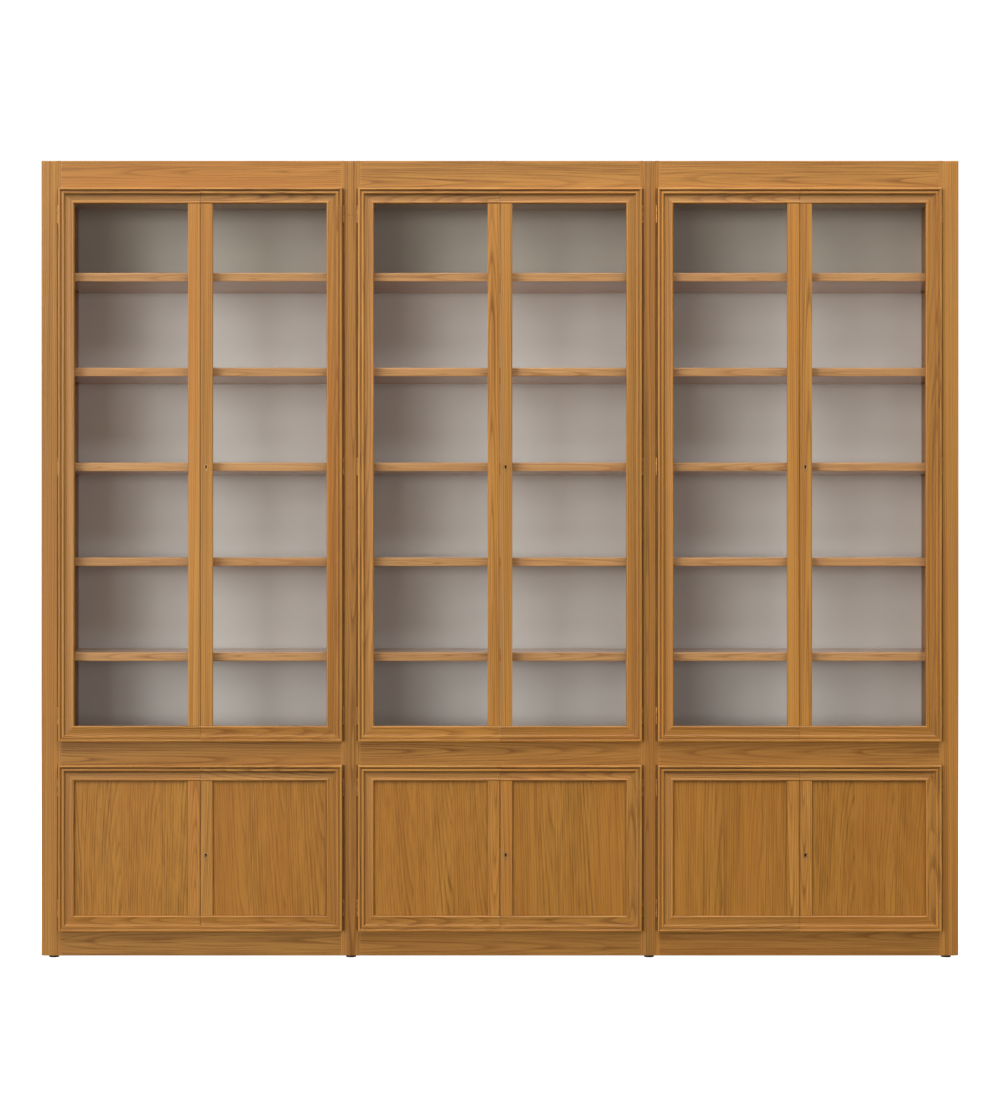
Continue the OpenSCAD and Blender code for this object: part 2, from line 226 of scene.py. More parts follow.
points, faces = board_skin((0, 0, 0), (0.9, 0.3, 0.026), 0, 1.5 * MM)
print("points on one board", len(points))

# %% [markdown]
# ## The grain of a board
# A board is a slice of a round trunk. Its pattern is where the growth rings meet its faces, so
# the honest way is to give every point of the board its place in the trunk: how far along, and
# how far to each side of the pith. A slice that passes beside the pith shows arches where the
# trunk tapers, and a slice from the outside in shows straight lines. The places are stored on
# the mesh as an attribute, and one wood finish then serves every board.

# %% Each point's place in the trunk
UP, ACROSS = 2, 0
PITH_BEHIND = (10 * MM, 28 * MM)
PITH_BESIDE = (70 * MM, 140 * MM)
TRUNK_HALF = 18


def in_the_trunk(points, lo, hi, along, cut, seed):
    """Places of a board's points in the trunk it was sawn from: (along, across, outward) in
    metres from the pith, counted from the middle of the board's front face. The board leans a
    little in the trunk, which is the taper. A flat cut has the pith behind the face, a quarter
    cut has it off to one side."""
    draw = np.random.default_rng(seed)
    lo, hi = np.array(lo, float), np.array(hi, float)
    size = hi - lo
    face = ACROSS if along == UP else UP
    side = draw.choice([-1, 1], 2)
    if cut == "mixed":
        cut = draw.choice(["flat", "quarter"])
    if cut == "flat":
        deep = np.clip(size[face] * draw.uniform(0.15, 0.45), *PITH_BEHIND)
        pith = np.array([side[0] * draw.uniform(0, 0.25) * size[face], deep])
        lean = side * np.array([0.004, draw.uniform(0.012, 0.032)]) / size[along]
    else:
        pith = side * np.array([draw.uniform(*PITH_BESIDE), draw.uniform(0, 0.03)])
        lean = side * np.array([draw.uniform(0.004, 0.02), 0.004]) / size[along]
    middle = (lo + hi) / 2
    way = points[:, along] - middle[along]
    across = points[:, face] - middle[face] + way * lean[0] + pith[0]
    outward = points[:, 1] - lo[1] + way * lean[1] + pith[1]
    return np.column_stack([way + draw.uniform(-TRUNK_HALF, TRUNK_HALF), across, outward])


test_board = ((0, 0, 0), (0.9, 0.3, 0.026), ACROSS, "flat", 3)
print("a place in the trunk", in_the_trunk(points, *test_board)[0].round(3))

# %% [markdown]
# ## From skins to pieces
# One piece may hold several boards, as the five shelves of a bay do. A board is kept as a small
# record of its points, faces and three attributes: its place in the trunk, a mark of how worn or
# dirty each point is and how much painted highlight or painted shade it carries, and one tone for
# the whole board, because no two boards take the stain alike.
# The piece is shaded smooth, with sharp edges wherever two faces meet at more than 40 degrees.

# %% Boards and pieces
TONE_DRAWS = 500
SHARP = math.radians(40)


def as_board(skin, lo, hi, along, cut, seed, wear=None):
    """A record of one board: skin, places in the trunk, wear and painted light, and tone."""
    points, faces = skin
    tone = np.random.default_rng(seed + TONE_DRAWS).uniform(-1, 1)
    return {
        "points": points,
        "faces": faces,
        "grain": in_the_trunk(points, lo, hi, along, cut, seed),
        "wear": edge_wear(points, np.array(lo), np.array(hi)) if wear is None else wear,
        "tone": np.full(len(points), tone),
    }


def board(lo, hi, along, cut, seed, radius=1.2 * MM):
    """A rounded board that fills the box."""
    return as_board(board_skin(lo, hi, along, radius), lo, hi, along, cut, seed)


def piece(name, parts, finish, body, nodes=()):
    """One object at the origin from several records, which rides on a body and stands for
    CAD nodes."""
    starts = np.cumsum([0] + [len(part["points"]) for part in parts])
    faces = []
    for part, start in zip(parts, starts):
        faces += [[point + start for point in face] for face in part["faces"]]
    mesh = bpy.data.meshes.new(name)
    mesh.from_pydata(np.concatenate([part["points"] for part in parts]), [], faces)
    for title, kind, field in (
        ("grain", "FLOAT_VECTOR", "vector"),
        ("wear", "FLOAT", "value"),
        ("tone", "FLOAT", "value"),
    ):
        if title in parts[0]:
            values = np.concatenate([part[title] for part in parts]).astype(np.float32)
            mesh.attributes.new(title, kind, "POINT").data.foreach_set(field, values.ravel())
    mesh.shade_smooth()
    mesh.set_sharp_from_angle(angle=SHARP)
    mesh.materials.append(finish)
    made = bpy.data.objects.new(name, mesh)
    scene.collection.objects.link(made)
    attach(made, body)
    if nodes:
        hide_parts(*nodes)
    return made


print("a board's record holds", sorted(as_board((points, faces), *test_board)))

# %% [markdown]
# ## Sums with sockets
# A finish is a graph of nodes, and most of them only add or multiply. The class below wraps a
# socket so that Python's own operators add those Math nodes. An expression such as
# `1 - worn * 0.3` then reads as the sum it is. Every other node comes from one method.

# %% A socket that can be calculated with


class Amount:
    """A number that varies over a surface. Operators on it add Math nodes."""

    def __init__(self, finish, socket):
        self.finish = finish
        self.socket = socket

    def maths(self, operation, *values):
        return self.finish.node("ShaderNodeMath", {"operation": operation}, dict(enumerate(values)))

    def __add__(self, other):
        return self.maths("ADD", self, other)

    def __sub__(self, other):
        return self.maths("SUBTRACT", self, other)

    def __rsub__(self, other):
        return self.maths("SUBTRACT", other, self)

    def __mul__(self, other):
        return self.maths("MULTIPLY", self, other)

    def __truediv__(self, other):
        return self.maths("DIVIDE", self, other)

    def __pow__(self, other):
        return self.maths("POWER", self, other)

    __radd__ = __add__
    __rmul__ = __mul__

    def part(self):
        """What is left after the whole number is taken away."""
        return self.maths("FRACT", self)

    def held(self, low=0, high=1):
        """The amount kept between low and high."""
        return self.maths("MAXIMUM", self.maths("MINIMUM", self, high), low)


class Finish:
    """A material with one Principled shader, and the ways of adding nodes to it."""

    def __init__(self, name, **constants):
        self.material = bpy.data.materials.new(name)
        self.material.use_nodes = True
        self.tree = self.material.node_tree
        self.shader = self.tree.nodes["Principled BSDF"]
        for title, value in constants.items():
            socket = title.replace("_", " ").title().replace("Ior", "IOR")
            self.shader.inputs[socket].default_value = value

    def node(self, kind, options=None, inputs=None, output=0):
        """Adds a node: its options, then its inputs, and gives back one of its outputs."""
        made = self.tree.nodes.new(kind)
        for title, value in (options or {}).items():
            if title == "stops":
                self.set_stops(made.color_ramp, value)
            else:
                setattr(made, title, value)
        for title, value in (inputs or {}).items():
            if isinstance(value, Amount):
                self.tree.links.new(value.socket, made.inputs[title])
            else:
                made.inputs[title].default_value = value
        return Amount(self, made.outputs[output])

    def set_stops(self, ramp, stops):
        """Puts the stops of a ramp at (position, grey)."""
        while len(ramp.elements) < len(stops):
            ramp.elements.new(1.0)
        for element, (position, grey) in zip(ramp.elements, stops):
            element.position = position
            element.color = (grey, grey, grey, 1)

    def attribute(self, name, output="Fac"):
        return self.node("ShaderNodeAttribute", {"attribute_name": name}, output=output)

    def stretch(self, place, scale):
        return self.node("ShaderNodeVectorMath", {"operation": "MULTIPLY"}, {0: place, 1: scale})

    def noise(self, place, scale, detail=2.0, roughness=0.5):
        """Soft noise from 0 to 1, with that many lumps to the metre along each axis."""
        inputs = {"Vector": self.stretch(place, scale), "Scale": 1.0, "Detail": detail}
        inputs["Roughness"] = roughness
        return self.node("ShaderNodeTexNoise", {}, inputs)

    def curve(self, amount, stops):
        """The amount read off a ramp of greys."""
        return self.node("ShaderNodeValToRGB", {"stops": stops}, {0: amount})

    def blend(self, factor, first, second):
        """First colour where the factor is 0, second where it is 1."""
        inputs = {0: factor, 6: first, 7: second}
        return self.node("ShaderNodeMix", {"data_type": "RGBA"}, inputs, output=2)

    def feed(self, title, amount):
        self.tree.links.new(amount.socket, self.shader.inputs[title])

    def raise_surface(self, height, depth, strength=1.0):
        """Bump by a height from 0 to 1 that stands for that many metres."""
        inputs = {"Height": height, "Distance": depth, "Strength": strength}
        self.feed("Normal", self.node("ShaderNodeBump", {}, inputs))


def rgb(red, green, blue):
    """A colour given on a screen, from 0 to 255, as light."""
    screen = np.array([red, green, blue]) / 255
    return tuple((((screen + 0.055) / 1.055) ** 2.4).tolist()) + (1.0,)


print("a honey colour as light", np.round(rgb(182, 128, 58), 3))

# %% [markdown]
# ## Honey-coloured hardwood
# The wood is ring-porous, like ash or chestnut: each year starts with a band of open pores,
# which take up stain and go dark, and ends with dense pale wood. The distance from the pith,
# divided by the width of a year, counts the rings, and the part after the point says where in
# the year we are. Slow noise makes the trunk less than round, and other noise makes some years
# stronger than others.

# %% The rings of the years
YEAR_DARKNESS = [(0, 0.3), (0.07, 1), (0.2, 0.75), (0.42, 0.2), (0.7, 0.05), (0.95, 0), (1, 0.3)]


def year_rings(f, place, ring_mm):
    """How much of the early wood a place has, and how dark the line of its year is."""
    wander = f.noise(place, (1.1, 3.5, 3.5), 2.0) - 0.5
    ripple = f.noise(place, (6, 22, 22), 2.0) - 0.5
    flat = f.stretch(place, (0, 1, 1))
    radius = f.node("ShaderNodeVectorMath", {"operation": "LENGTH"}, {0: flat}, output=1)
    years = (radius + wander * 0.03 + ripple * 0.003) / (ring_mm * MM)
    along_years = {"W": years * 0.43, "Scale": 1.0}
    strong = f.node("ShaderNodeTexNoise", {"noise_dimensions": "1D"}, along_years)
    early = f.curve(years.part(), YEAR_DARKNESS)
    return early, early * ((strong - 0.25) * 2.5).held(0.3, 1)


def shifted_by_stave(f, place, width):
    """Panels are glued up from staves. Every stave takes its wood from elsewhere along the
    trunk, and chance says which part of it lies over the pith and how deep the pith is."""
    across = f.node("ShaderNodeSeparateXYZ", {}, {0: place}, output=1)
    number = across.maths("FLOOR", across / width)
    chance = f.node("ShaderNodeTexWhiteNoise", {"noise_dimensions": "1D"}, {"W": number + 0.5})
    centred = (number - 0.1 + 1.2 * chance) * -width
    shift = f.node("ShaderNodeCombineXYZ", {}, {0: number * 3.7, 1: centred, 2: chance * 0.02})
    return f.node("ShaderNodeVectorMath", {"operation": "ADD"}, {0: place, 1: shift})


print("stops on the ramp of a year", len(YEAR_DARKNESS))

# %% [markdown]
# Between the rings the wood is not even: there are broad bands, long streaks, short fibres and
# open pores, and each is noise that is drawn out along the trunk. Together they choose between a
# pale and a dark colour, and slow patches lean towards amber. The surface has a satin oil finish
# that is paler and smoother where hands and dusters rub the edges. The mark above 0 also paints
# highlights on the fillets and bead of the moulding. Below 0 it darkens and dulls the colour: that
# is painted shade in the coves, beside the doors and round the panels, and the dark of the joints
# between doors and of putty.

# %% The wood finish


def wood(name, pale, dark, amber, ring_mm, staves=0.0, place_from=None, varnish=0.12):
    """Colour from rings, fibres and pores; roughness and bump from the same pores."""
    f = Finish(name, coat_weight=varnish, coat_roughness=0.34 - varnish * 0.25, ior=1.47)
    if place_from is None:
        place = f.attribute("grain", "Vector")
        tone, wear = f.attribute("tone"), f.attribute("wear")
    else:
        place = place_from(f)
        tone, wear = f.noise(place, (0.1, 1.5, 1.5), 0.0) * 2 - 1, beside_doors(f)
    if staves:
        place = shifted_by_stave(f, place, staves)
    early, year_line = year_rings(f, place, ring_mm)
    band = f.noise(place, (0.8, 28, 28), 2.0) - 0.5
    streak = f.noise(place, (0.4, 170, 170), 3.0, 0.55) - 0.5
    fibre = f.noise(place, (9, 650, 650), 3.0, 0.65) - 0.5
    pore = ((f.noise(place, (55, 1900, 1900), 1.0) - 0.56) * 9).held() * (early * 0.75 + 0.25)
    depth = year_line * 0.68 + band * 0.8 + streak * 1.5 + fibre * 0.4 + pore * 0.25 + 0.12
    colour = f.blend(depth.held(), pale, dark)
    patch = f.noise(place, (0.7, 7, 7), 1.0)
    colour = f.blend(((patch - 0.38) * 2.2).held() * 0.55, colour, amber)
    # Above 0 the mark makes the colour paler: worn edges, and painted highlights on the moulding. Below 0
    # it darkens it: painted shade, and the dark of joints and putty.
    value = tone * 0.045 + 1 + wear.maths("MAXIMUM", wear, 0) * 0.1
    shade_and_dirt = (0 - wear).held() * (0.45 + 0.55 * f.noise(place, (14, 60, 60), 2.0))
    toned = f.node("ShaderNodeHueSaturation", {}, {"Value": value - shade_and_dirt * 0.75, "Color": colour})
    f.feed("Base Color", toned)
    rub = wear.held() * 0.1
    f.feed("Roughness", (0.47 + pore * 0.2 + fibre * 0.12 - rub + shade_and_dirt * 0.15).held(0.2, 0.9))
    f.raise_surface(fibre * 0.35 + (1 - pore) * 0.6, 0.12 * MM, 0.6)
    return f.material


STAVE = 118 * MM
honey = wood("honey_wood", rgb(182, 128, 58), rgb(112, 65, 10), rgb(174, 108, 39), 5.5)
panel = wood("panel_wood", rgb(176, 121, 45), rgb(110, 64, 8), rgb(166, 103, 33), 6.5, STAVE)
shelf = wood("shelf_wood", rgb(208, 155, 96), rgb(154, 100, 48), rgb(200, 138, 80), 5.0, varnish=0.8)
print("nodes in the wood finish", len(honey.node_tree.nodes))

# %% [markdown]
# Some wooden parts keep the CAD mesh, because they have seats cut for the hinges. They carry no
# attributes, so their grain comes from Object coordinates with the axes put in another order:
# the height becomes the way along the trunk. Beside the doors they are darker: painted shade for
# the gap between the door and the upright.

# %% The same wood on the hanging battens
KINDS = ("glass", "base")
DOORS = [(kind, number, f"{kind}_door_{number}") for kind in KINDS for number in range(1, 7)]


def upright_place(f):
    """Object coordinates as a place in the trunk: height along it, width and depth across."""
    spot = f.node("ShaderNodeTexCoord", output="Object")
    parts = [f.node("ShaderNodeSeparateXYZ", {}, {0: spot}, output=k) for k in range(3)]
    return f.node("ShaderNodeCombineXYZ", {}, {0: parts[2] + 7.3, 1: parts[0] + 0.13, 2: parts[1] + 0.05})


def beside_doors(f):
    """-1 at the heights of the doors and 0 elsewhere: the mark of the painted shade in the gap beside
    them.
    """
    spot = f.node("ShaderNodeTexCoord", output="Object")
    height = f.node("ShaderNodeSeparateXYZ", {}, {0: spot}, output=2)
    door_shade = 0
    for kind in KINDS:
        low, high = (corner[2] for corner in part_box(f"{kind}_door_1_frame"))
        above = height.maths("GREATER_THAN", height, low)
        below = height.maths("LESS_THAN", height, high)
        door_shade = above * below + door_shade
    return 0 - door_shade


def refinish(node, finish):
    """Gives the CAD mesh of a node a finish of its own."""
    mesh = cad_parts[node].data
    mesh.materials.clear()
    mesh.materials.append(finish)


batten_colours = (rgb(182, 128, 58), rgb(114, 66, 11), rgb(174, 108, 39))
batten_wood = wood("batten_wood", *batten_colours, 5.5, place_from=upright_place)
refinish("hanging_battens", batten_wood)
print("the battens are now", batten_wood.name)

# %% [markdown]
# ## The case
# The joiner's order is uprights, rails, fixed boards, back, shelves. Uprights stand on end, so
# their grain is vertical; everything between them lies along the case. The front edges are
# only lightly eased here, because the doors close against them.

# %% Uprights, rails, boards and shelves


def boards_for(node, along, cut, finish, radius=1.2 * MM, darker=0.0):
    """Boards in all the boxes of one node, as one piece that stands for it. darker lowers the
    tone of them all."""
    first = sum(ord(letter) for letter in node)
    parts = [board(lo, hi, along, cut, first + k, radius) for k, (lo, hi) in enumerate(solids(node))]
    for part in parts:
        part["tone"] -= darker
    made = piece(node + "_wood", parts, finish, "case", [node])
    print(made.name, "boards", len(parts))
    return made


boards_for("outer_uprights", UP, "quarter", honey)
# The inner uprights and the rails are given a darker tone. On the plinth and waist rails it is painted
# shade, for the light that is weaker low down and under the doors.
boards_for("inner_uprights", UP, "flat", honey, darker=3.2)
for node, darker in (("plinth_rails", 3.2), ("waist_rails", 2.4), ("top_rails", 0.5)):
    boards_for(node, ACROSS, "flat", honey, 0.6 * MM, darker)
for node in ("bottom_boards", "waist_boards"):
    boards_for(node, ACROSS, "flat", honey, 0.6 * MM)
for node in ("shelves", "base_shelves"):
    boards_for(node, ACROSS, "flat", shelf, 2 * MM)

# %% [markdown]
# ## The moulding
# Every door is framed by one small moulding, run on the edge of the stile and the rails. From
# the outside in it has a raised fillet, a tight cove, a second fillet, a wide cove that flattens
# out into a band, and a bead round the opening. The section is written as a list of arcs and
# corners, in millimetres in from the outer edge and up from the back.
# Arrises get a small radius, and each point gets a mark. Above 0 it is paler, as worn edges and as
# painted highlights on the fillets and the bead; below 0 it is darker, as painted shade in the
# coves and on the inner side of the bead.

# %% The section of the moulding
MOULDING_W = 47 * MM
MOULDING_H = 22 * MM
REBATE_W = 10 * MM
REBATE_D = 9 * MM


def arc(x, y, radius, start, stop, count, mark):
    """Points on a circle from one angle to another, in degrees, each with its mark."""
    turn = np.radians(np.linspace(start, stop, count))
    marks = np.zeros(count) + mark
    return np.stack([x + radius * np.cos(turn), y + radius * np.sin(turn), marks], axis=1)


def corner(x, y, mark):
    return np.array([[x, y, mark]])


# Marks above 0 are worn arrises and painted highlights on the fillets and bead; marks below 0 are painted
# shade in the coves and on the inner side of the bead.
section = np.concatenate(
    [
        corner(0, 0.1, 0),
        corner(0, 14, 0),
        arc(2.6, 19.4, 2.6, 180, 90, 7, 2.6),
        corner(4.5, 22, 1.6),
        arc(5.0, 21.4, 0.6, 90, 10, 4, 1.6),
        arc(9.2, 20.6, 3.6, 180, 270, 7, np.linspace(-0.4, -1, 7)),
        corner(10.9, 17, -0.9),
        arc(12.2, 18.8, 0.9, 180, 90, 4, 1.2),
        corner(16.2, 19.7, 0.7),
        arc(16.7, 19.2, 0.5, 90, 10, 3, 1.2),
        arc(21.4, 17.4, 4.2, 180, 270, 8, np.linspace(-0.4, -0.9, 8)),
        corner(25, 13.3, -0.5),
        corner(30, 13.8, -0.3),
        corner(36, 14.6, -0.05),
        corner(39.6, 15.1, 0),
        arc(43.2, 13, 3.8, 144, 100, 4, 1.2),
        arc(43.2, 13, 3.8, 85, 45, 4, 0.8),
        arc(43.2, 13, 3.8, 30, 0, 3, -0.4),
        corner(47, 9, -1),
        corner(37, 9, 0),
        corner(37, 0.1, 0),
    ]
)
SECTION = section[:, :2] * MM
SECTION_WEAR_AND_PAINTED_LIGHT = section[:, 2]
print("points in the section", len(SECTION))

# %% [markdown]
# ## A mitre
# Where a stile meets a rail both are cut at 45 degrees. Along a member the cut starts as far in
# as the point is from the outer edge, so a mitred end needs no boolean: the start of every line
# of the moulding is simply moved along by its own distance in. A square end moves no line.

# %% Members of a door frame
GLUE = 0.05 * MM
BACK = 0.1 * MM
EASE = 0.8 * MM


def moulded(place, length, mitres):
    """Moulding of that length. Each line of the section runs from its own start to its own
    end, which at a mitred end lie as far in as the line does. place turns (in, up, along)
    into a point of the case."""
    inset = SECTION[:, 0] + GLUE
    start = inset * mitres[0]
    stop = length - inset * mitres[1]
    share = np.array([0, 0.02, 0.5, 0.98, 1])[:, None]
    along = start + (stop - start) * share
    across = np.broadcast_to(SECTION, along.shape + (2,))
    grid = np.concatenate([across, along[..., None]], axis=-1)
    return loft(place(grid)), np.tile(SECTION_WEAR_AND_PAINTED_LIGHT, len(share))


def square_section(inner, outer, deep, thick):
    """Section of the plain meeting stile with its rebate, as points (in, up)."""
    bend = np.linspace(0, math.pi / 2, 4)
    turn = EASE * np.stack([np.cos(bend), np.sin(bend)], axis=1)
    near = [inner + EASE, thick - EASE] + turn * [-1, 1]
    far = [outer - EASE, thick - EASE] + turn[:, ::-1]
    band = [[inner + EDGE_BAND, thick], [outer - EDGE_BAND, thick]]
    step = inner + REBATE_W
    back = [[outer, BACK], [step, BACK], [step, deep], [inner, deep]]
    return np.concatenate([near, band, far, back])


print("one metre of moulding, faces", len(moulded(lambda grid: grid, 1.0, (1, 0))[0][1]))

# %% [markdown]
# ## The keyhole
# The meeting stile of a right-hand door is bored for the key: a round hole with a slot below.
# A boolean cuts it, which is the plain way to make a hole of any outline in a flat face. Places
# in the trunk depend only on where a point lies, so they are worked out after the cut.

# %% Boring the keyhole
KEY_R = 3.1 * MM
KEY_SLOT = 2.1 * MM
KEY_DROP = 6.6 * MM


def keyhole_outline(grow=0.0, count=20):
    """Outline (x, z) about the middle of the round part: an arc that is open at the foot, and
    two straight sides down to the drop."""
    radius, slot = KEY_R + grow, KEY_SLOT + grow
    low = math.asin(slot / radius)
    turn = np.linspace(-math.pi / 2 + low, 1.5 * math.pi - low, count)
    ring = np.stack([radius * np.cos(turn), radius * np.sin(turn)], axis=1)
    foot = np.array([[-slot, -KEY_DROP - grow], [slot, -KEY_DROP - grow]])
    return np.concatenate([ring, foot])


def plain_object(name, skin):
    mesh = bpy.data.meshes.new(name)
    mesh.from_pydata(skin[0], [], skin[1])
    made = bpy.data.objects.new(name, mesh)
    scene.collection.objects.link(made)
    return made


def upright_rows(outline, x, z, depths):
    """The outline (x, z), moved to x, z, at each of the depths y."""
    return np.stack([np.insert(outline + [x, z], 1, y, axis=1) for y in depths])


def bored(skin, x, z, depths):
    """The skin with a keyhole cut through it at x, z, between two depths."""
    stile = plain_object("stile", skin)
    cutter = plain_object("cutter", loft(upright_rows(keyhole_outline(), x, z, depths)))
    cut = stile.modifiers.new("keyhole", "BOOLEAN")
    cut.object = cutter
    cut.solver = "EXACT"
    graph = bpy.context.evaluated_depsgraph_get()
    result = stile.evaluated_get(graph).to_mesh()
    points = np.empty(len(result.vertices) * 3)
    result.vertices.foreach_get("co", points)
    faces = [list(face.vertices) for face in result.polygons]
    bpy.data.objects.remove(stile)
    bpy.data.objects.remove(cutter)
    return points.reshape(-1, 3), faces


print("points on the outline of a keyhole", len(keyhole_outline()))

# %% [markdown]
# ## Glazing beads
# The glass lies in a rebate at the back of the frame, and four thin strips hold it there. They
# are pinned, so that a broken pane can be changed.

# %% Glazing beads
GLASS_T = 4 * MM


def glazing_beads(box, inner, low, top, seed):
    """Four strips behind the glass: two standing for the full height of the rebate and two
    lying between them."""
    thick, play = REBATE_D - GLASS_T, BACK
    near, far = MOULDING_W - REBATE_W + play, inner + play
    strip = REBATE_W - 2 * play
    foot = low + near
    head = top - near
    strips = [
        (box(near, near + strip, BACK, thick, foot, head), UP),
        (box(far, far + strip, BACK, thick, foot, head), UP),
        (box(near + strip + play, far - play, BACK, thick, foot, foot + strip), ACROSS),
        (box(near + strip + play, far - play, BACK, thick, head - strip, head), ACROSS),
    ]
    return [board(*ends, along, "quarter", seed + k, EASE) for k, (ends, along) in enumerate(strips)]


print("thickness left for the beads", round(REBATE_D - GLASS_T, 4))

# %% [markdown]
# ## The frames of the doors
# A frame is two moulded rails, one moulded stile on the hinge side and one plain stile on the
# meeting side. The coves of the top rail face down, away from the light, so their painted shade is
# strongest there; the stiles get less and the bottom rail least. Everything is drawn once for a
# door that hangs on the left, counted in from its outer edge, and a factor of -1 turns it round
# for a door that hangs on the right. The rails and the meeting stiles reach a little into the gap
# between two doors, which closes it to a fine line, and that line is dark with dust.

# %% One frame
MEETING_W = 36 * MM
MEETING_T = 15.5 * MM
KEY_IN = 16 * MM
CUT_REACH = 30 * MM
JOINT = 0.6 * MM
JOINT_DUST = {"glass": -0.3, "base": -0.7}
FIRST_SEED = {"glass": 100, "base": 200}


def hangs_left(number):
    return number % 2 == 1


def door_frame(kind, number, key_z):
    """The members of one door as board records."""
    lo, hi = (np.array(corner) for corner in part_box(f"{kind}_door_{number}_frame"))
    turn = 1 if hangs_left(number) else -1
    outer = lo[0] if turn == 1 else hi[0]
    wide = hi[0] - lo[0] + JOINT
    high, back = hi[2] - lo[2], hi[1]
    seed = FIRST_SEED[kind] + number * 10

    def box(from_in, to_in, from_up, to_up, from_z, to_z):
        xs = sorted([outer + turn * from_in, outer + turn * to_in])
        return np.array([xs[0], back - to_up, from_z]), np.array([xs[1], back - from_up, to_z])

    def standing(grid):
        into, up, along = np.moveaxis(grid, -1, 0)
        return np.stack([outer + turn * into, back - up, lo[2] + along], axis=-1)

    def lying(grid, level, way):
        into, up, along = np.moveaxis(grid, -1, 0)
        return np.stack([outer + turn * along, back - up, level + way * into], axis=-1)

    members = [
        (standing, high, (1, 1), UP, 0.5),
        (lambda grid: lying(grid, lo[2], 1), wide, (1, 0), ACROSS, 0.15),
        (lambda grid: lying(grid, hi[2], -1), wide, (1, 0), ACROSS, 1.2),
    ]
    parts = []
    for order, (place, length, mitres, along, cove_shade) in enumerate(members):
        skin, wear = moulded(place, length, mitres)
        # Painted shade in the coves, scaled for each member: strongest on the top rail.
        wear = np.where(wear < 0, wear * cove_shade, wear)
        low, top = skin[0].min(axis=0), skin[0].max(axis=0)
        parts.append(as_board(skin, low, top, along, "mixed", seed + order, wear))

    inner = wide - JOINT - MEETING_W
    ends = (lo[2] + MOULDING_W + GLUE, hi[2] - MOULDING_W - GLUE)
    flat = square_section(inner, wide, REBATE_D, MEETING_T)
    level = np.zeros(len(flat))
    skin = loft(np.stack([standing(np.column_stack([flat, level + z - lo[2]])) for z in ends]))
    whole = box(inner, wide, 0, MEETING_T, *ends)
    if not hangs_left(number):
        key_x = outer + turn * (wide - JOINT - KEY_IN)
        skin = bored(skin, key_x, key_z, (back - CUT_REACH, back + CUT_REACH))
    at_joint = np.abs(skin[0][:, 0] - (outer + turn * wide)) < 1 * MM
    wear = np.where(at_joint, JOINT_DUST[kind], edge_wear(skin[0], *whole))
    parts.append(as_board(skin, *whole, UP, "mixed", seed + 3, wear))
    for z0, z1 in ((ends[0] - REBATE_W, ends[0] - GLUE), (ends[1] + GLUE, ends[1] + REBATE_W)):
        tab = box(inner + REBATE_W, wide, BACK, REBATE_D - BACK, z0, z1)
        parts.append(as_board(board_skin(*tab, UP, 0.3 * MM), *whole, UP, "mixed", seed + 3))
    if kind == "glass":
        parts += glazing_beads(box, inner, lo[2], hi[2], seed + 5)
    return parts


print("each frame is wider than in the CAD model by", JOINT)

# %% [markdown]
# The bolt of a lock lies a little above its keyhole, so the height of the bolt gives the height
# of the hole. Each frame then rides on its own door and stands for the CAD frame.

# %% Twelve frames
BOLT_ABOVE_KEY = 10 * MM


def key_height(kind):
    """Height of the keyholes in the doors of that kind."""
    low, high = (corner[2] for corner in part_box(f"{kind}_door_2_bolt"))
    return (low + high) / 2 - BOLT_ABOVE_KEY


KEY_Z = {kind: key_height(kind) for kind in KINDS}
for kind, number, door in DOORS:
    members = door_frame(kind, number, KEY_Z[kind])
    piece(door + "_frame_wood", members, honey, door, [door + "_frame"])
print("keyholes at", KEY_Z)

# %% [markdown]
# ## The panels
# The lower doors have flat panels of glued-up staves with the grain upright. A dark band of
# painted shade follows the rim, where the frame stands over the panel, deepest under the top rail.
# It is a mark on the points, and the grid of the panel has its close lines where the band fades.

# %% Panels
RIM_LINES = np.array([0, 9, 11, 12.5, 14.5, 17, 22, 60]) * MM
HIDDEN_RIM = 10 * MM
RIM_SHADE_REACH = (7, 7, 3, 9)
RIM_SHADE_DEPTH = np.array([0.5, 0.5, 0.3, 0.8])


def framed_panel(lo, hi, seed):
    """A board whose front is a grid with close lines near its rim. The mark of the painted shade is
    the depth of its band times 1 at the frame, falling to 0 over the reach of the band. The four
    sides are left, right, foot and head, and the deepest of them counts."""
    lo, hi = np.array(lo), np.array(hi)
    xs = np.concatenate([lo[0] + RIM_LINES, hi[0] - RIM_LINES[::-1]])
    zs = np.concatenate([lo[2] + RIM_LINES, hi[2] - RIM_LINES[::-1]])
    line = np.concatenate([xs, xs[::-1]])
    depth = np.repeat([lo[1], hi[1]], len(xs))
    grid = np.stack([np.column_stack([line, depth, np.full(len(line), z)]) for z in zs])
    points, faces = loft(grid)
    x, z = points[:, 0], points[:, 2]
    gaps = np.stack([x - lo[0], hi[0] - x, z - lo[2], hi[2] - z], axis=1)
    marks = np.clip(1 - (gaps - HIDDEN_RIM) / (np.array(RIM_SHADE_REACH) * MM), 0, 1)
    wear = -np.max(marks * RIM_SHADE_DEPTH, axis=1)
    return as_board((points, faces), lo, hi, UP, "flat", seed, wear)


for number in range(1, 7):
    node = f"base_door_{number}_panel"
    part = framed_panel(*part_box(node), 900 + number)
    piece(node + "_wood", [part], panel, f"base_door_{number}", [node])
print("faces on a panel", len(part["faces"]))

# %% [markdown]
# ## The glass
# The panes keep the CAD boxes. Clear glass is nothing but its reflections: light passes straight
# through, and a share that grows towards grazing angles is mirrored. Schlick's rule gives that
# share as 4% plus the rest times the fifth power of one minus the cosine, and it drives a Mix
# Shader. Old panes are a little wavy and carry the smears of cleaning, which only show where
# something is mirrored.

